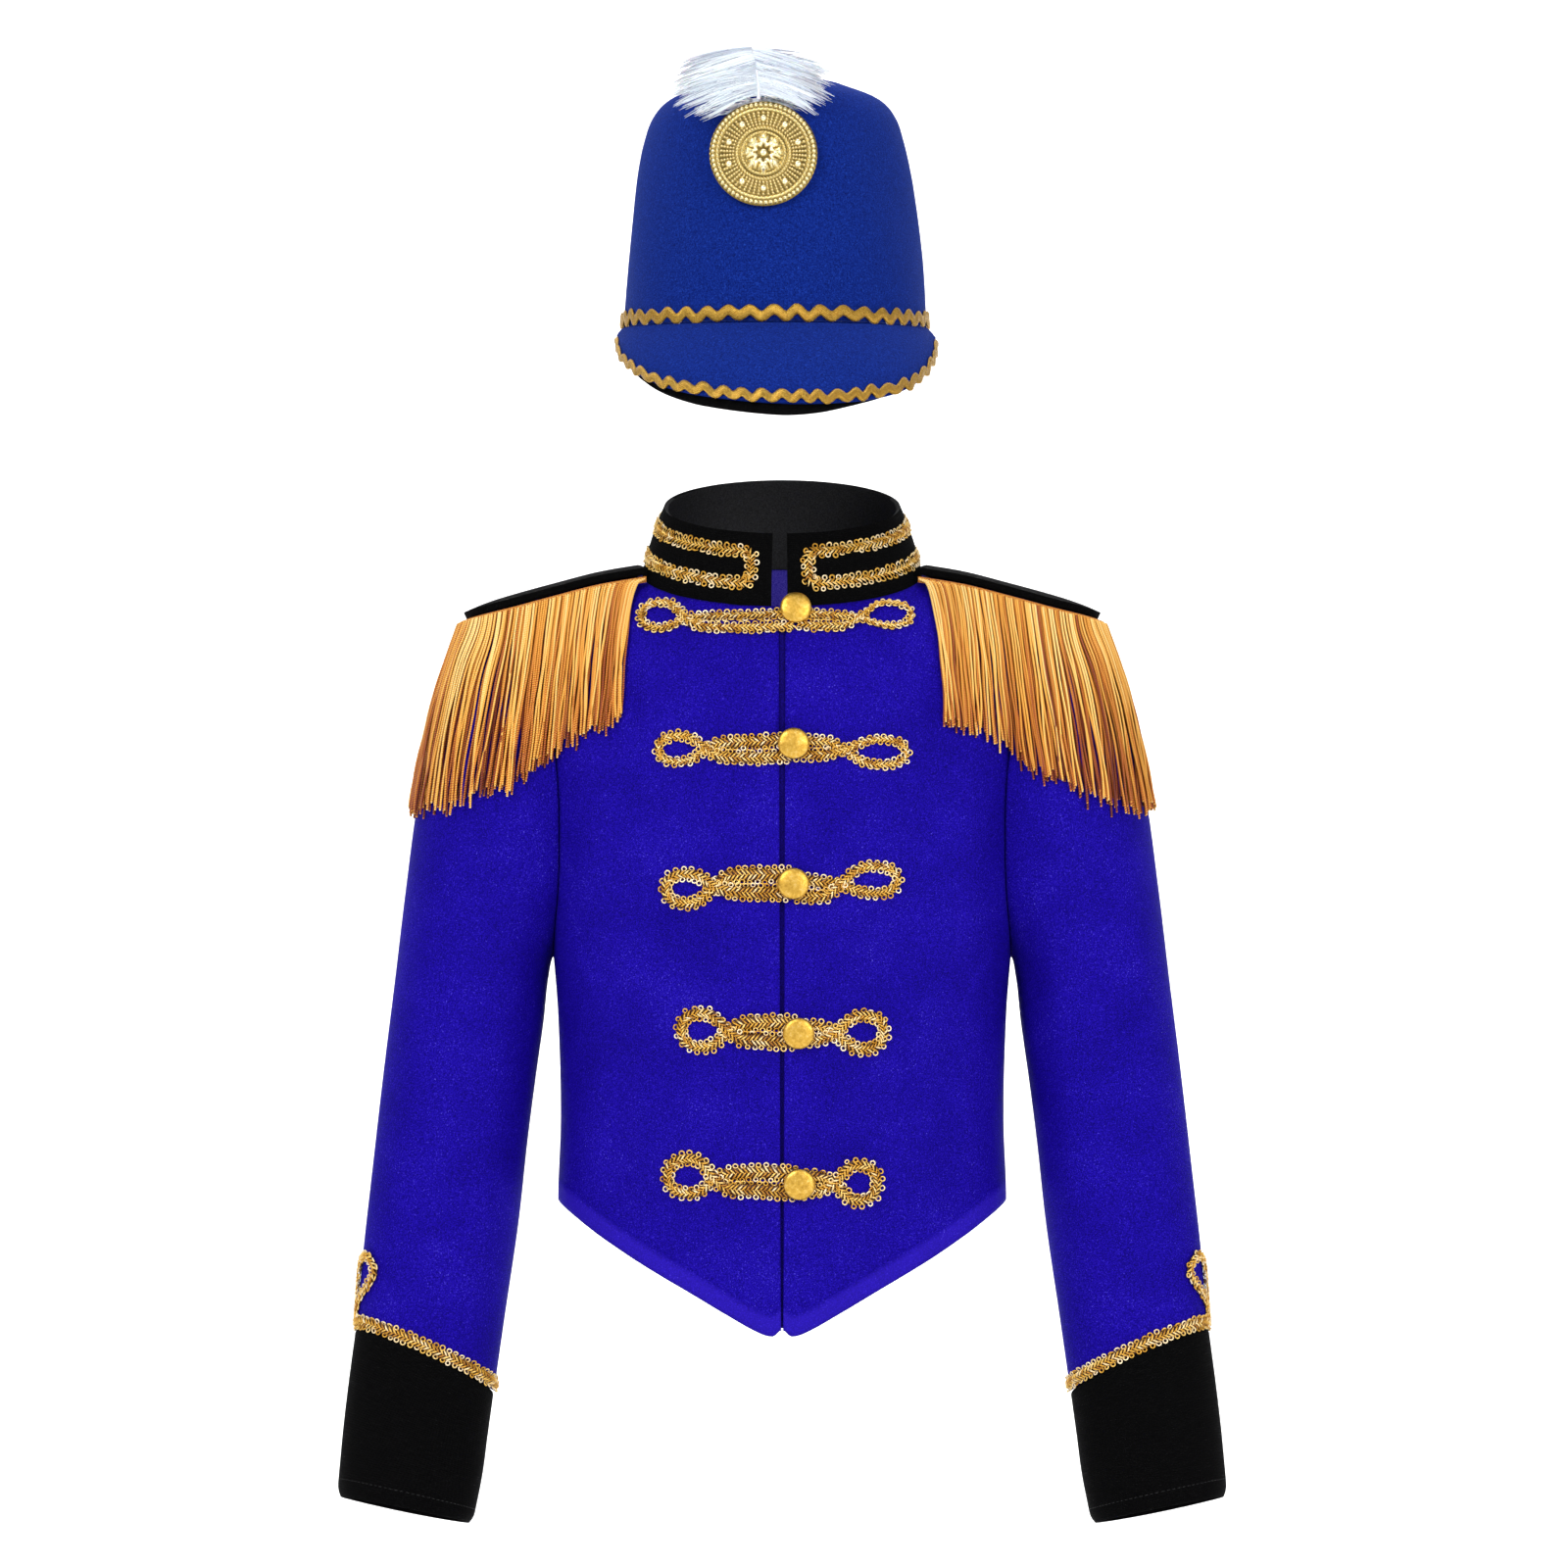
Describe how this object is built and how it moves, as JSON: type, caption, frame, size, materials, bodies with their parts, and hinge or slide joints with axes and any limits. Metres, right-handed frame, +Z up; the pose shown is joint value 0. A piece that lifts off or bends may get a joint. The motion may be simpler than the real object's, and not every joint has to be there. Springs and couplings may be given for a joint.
{
  "type": "marching band uniform",
  "caption": "Child's marching band uniform: short pointed jacket with stand collar, corded closures, fringed epaulettes and dark cuffs, and a visored hat with badge and plume",
  "frame": {"origin": "the middle of the neck opening at the height of the shoulders, where the wearer's neck and shoulders carry the jacket", "axes": "+Z up; -Y the way the front and the hat's visor face; +X to the viewer's right as seen from the front, the wearer's left"},
  "size_m": [0.4888, 0.2407, 0.8035],
  "materials": {
    "jacket_cloth": "smooth woven cloth with a soft sheen",
    "velvet": "black short-pile velvet",
    "gold_braid": "metallic looped gimp braid",
    "button_metal": "brushed gilt metal",
    "fringe_cord": "glossy twisted rayon cord",
    "hat_felt": "pressed blue felt",
    "rickrack": "antique gold metallic rickrack braid",
    "badge_metal": "polished pressed sheet metal",
    "feather": "white feather barbs"
  },
  "bodies": {
    "root": {"front_left": "jacket_cloth", "front_right": "jacket_cloth", "front_placket": "jacket_cloth", "back": "jacket_cloth", "sleeve_left": "jacket_cloth", "sleeve_right": "jacket_cloth", "cuff_left": "velvet", "cuff_right": "velvet", "collar": "velvet", "epaulette_left": "velvet", "epaulette_right": "velvet", "hat_visor_under": "velvet", "cuff_braid_left": "gold_braid", "cuff_braid_right": "gold_braid", "cuff_loop_left": "gold_braid", "cuff_loop_right": "gold_braid", "collar_braid": "gold_braid", "frog_1_left": "gold_braid", "frog_1_right": "gold_braid", "frog_2_left": "gold_braid", "frog_2_right": "gold_braid", "frog_3_left": "gold_braid", "frog_3_right": "gold_braid", "frog_4_left": "gold_braid", "frog_4_right": "gold_braid", "frog_5_left": "gold_braid", "frog_5_right": "gold_braid", "button_1": "button_metal", "button_2": "button_metal", "button_3": "button_metal", "button_4": "button_metal", "button_5": "button_metal", "fringe_left": "fringe_cord", "fringe_right": "fringe_cord", "hat_crown": "hat_felt", "hat_visor": "hat_felt", "hat_rickrack_band": "rickrack", "hat_rickrack_edge": "rickrack", "hat_badge": "badge_metal", "hat_feather": "feather"}
  },
  "joints": []
}
